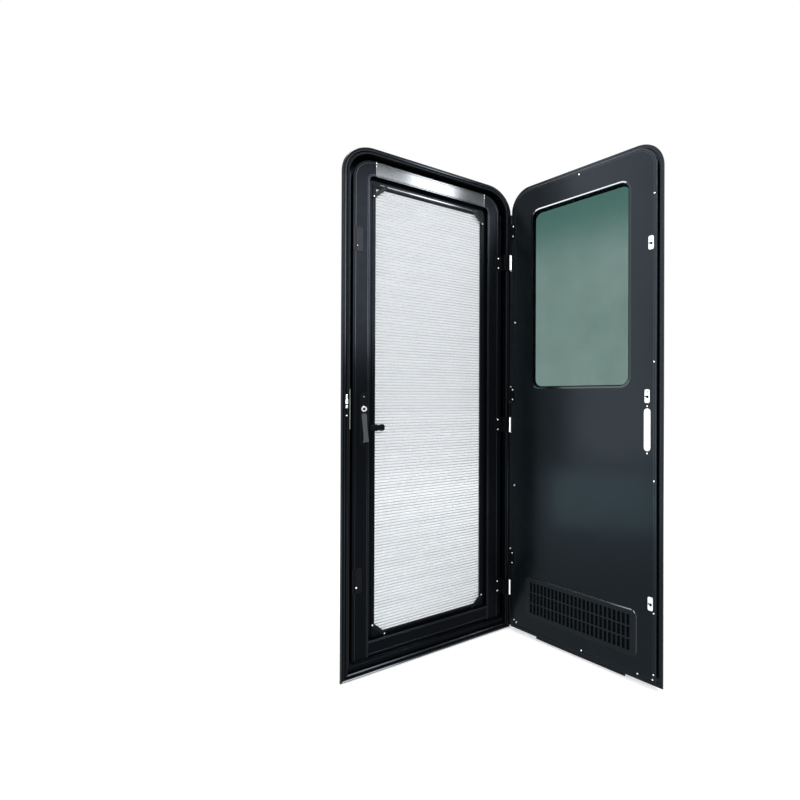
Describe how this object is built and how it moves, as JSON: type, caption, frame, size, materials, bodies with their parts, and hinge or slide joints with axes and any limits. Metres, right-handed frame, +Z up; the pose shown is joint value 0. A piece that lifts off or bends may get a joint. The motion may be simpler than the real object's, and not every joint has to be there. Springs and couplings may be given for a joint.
{
  "type": "caravan entry door",
  "caption": "Arched caravan entry door: wall frame, outer door with window and vent, and inner screen door on shared hinges.",
  "frame": {"origin": "on the back of the wall flange, in the middle of the sill's flange", "axes": "+X to the right seen from outside, +Y into the caravan, +Z up"},
  "size_m": [0.8938, 0.6616, 1.84],
  "materials": {
    "black_coat": "satin black powder coat",
    "panel_skin": "satin black coated sheet",
    "hinge_coat": "satin black coat",
    "seal_rubber": "matt black rubber",
    "mesh_wire": "grey woven insect mesh",
    "black_plastic": "moulded black plastic",
    "grey_plastic": "moulded grey plastic",
    "white_plastic": "moulded white plastic",
    "chrome_steel": "bright chrome",
    "bright_steel": "bright plated steel",
    "tinted_glass": "grey-green tinted glazing"
  },
  "bodies": {
    "frame": {"frame_hoop": "black_coat", "frame_sill": "black_coat", "frame_seal": "seal_rubber", "lock_striker": "chrome_steel", "hinge_frame_leaf_upper": "hinge_coat", "hinge_frame_leaf_middle": "hinge_coat", "hinge_frame_leaf_lower": "hinge_coat"},
    "screen_door": {"screen_latch_stile": "black_coat", "screen_hinge_stile": "black_coat", "screen_top_rail": "black_coat", "screen_bottom_rail": "black_coat", "mesh_channel": "black_coat", "screen_mesh": "mesh_wire", "screen_lock_plate": "black_plastic", "screen_lock_cylinder": "chrome_steel", "screen_lever": "grey_plastic", "screen_knob": "black_plastic", "mesh_bracket_upper_latch": "black_coat", "mesh_bracket_upper_hinge": "black_coat", "mesh_bracket_lower_latch": "black_coat", "mesh_bracket_lower_hinge": "black_coat", "keeper_plate_upper": "black_plastic", "keeper_plate_lower": "black_plastic", "hinge_screen_leaf_upper": "hinge_coat", "hinge_screen_leaf_middle": "hinge_coat", "hinge_screen_leaf_lower": "hinge_coat"},
    "outer_door": {"door_panel": "panel_skin", "door_edge_hoop": "black_coat", "door_bottom_rail": "black_coat", "door_sweep": "seal_rubber", "window_glass": "tinted_glass", "window_outer_frame": "black_plastic", "window_inner_frame": "black_plastic", "vent_outer_grille": "black_plastic", "vent_inner_grille": "black_plastic", "handle_body": "black_plastic", "handle_cylinder": "chrome_steel", "handle_back_cover": "white_plastic", "door_catch_upper": "bright_steel", "door_catch_middle": "bright_steel", "door_catch_lower": "bright_steel", "hinge_door_leaf_upper": "hinge_coat", "hinge_door_leaf_middle": "hinge_coat", "hinge_door_leaf_lower": "hinge_coat"},
    "handle_lever": {"handle_lever": "grey_plastic"}
  },
  "joints": [
    {"name": "screen_door_swing", "type": "hinge", "parent": "frame", "child": "screen_door", "pos_m": [0.322, -0.02, 0.9], "axis": [0, 0, 1], "range_deg": [0, 63]},
    {"name": "outer_door_swing", "type": "hinge", "parent": "screen_door", "child": "outer_door", "pos_m": [0.322, -0.02, 0.9], "axis": [0, 0, 1], "range_deg": [-112, 0]},
    {"name": "handle_pull", "type": "hinge", "parent": "outer_door", "child": "handle_lever", "pos_m": [0.54662, -0.56127, 0.8835], "axis": [0.3746, -0.9272, 0], "range_deg": [0, 30], "stiffness_Nm_per_rad": 0.3}
  ]
}
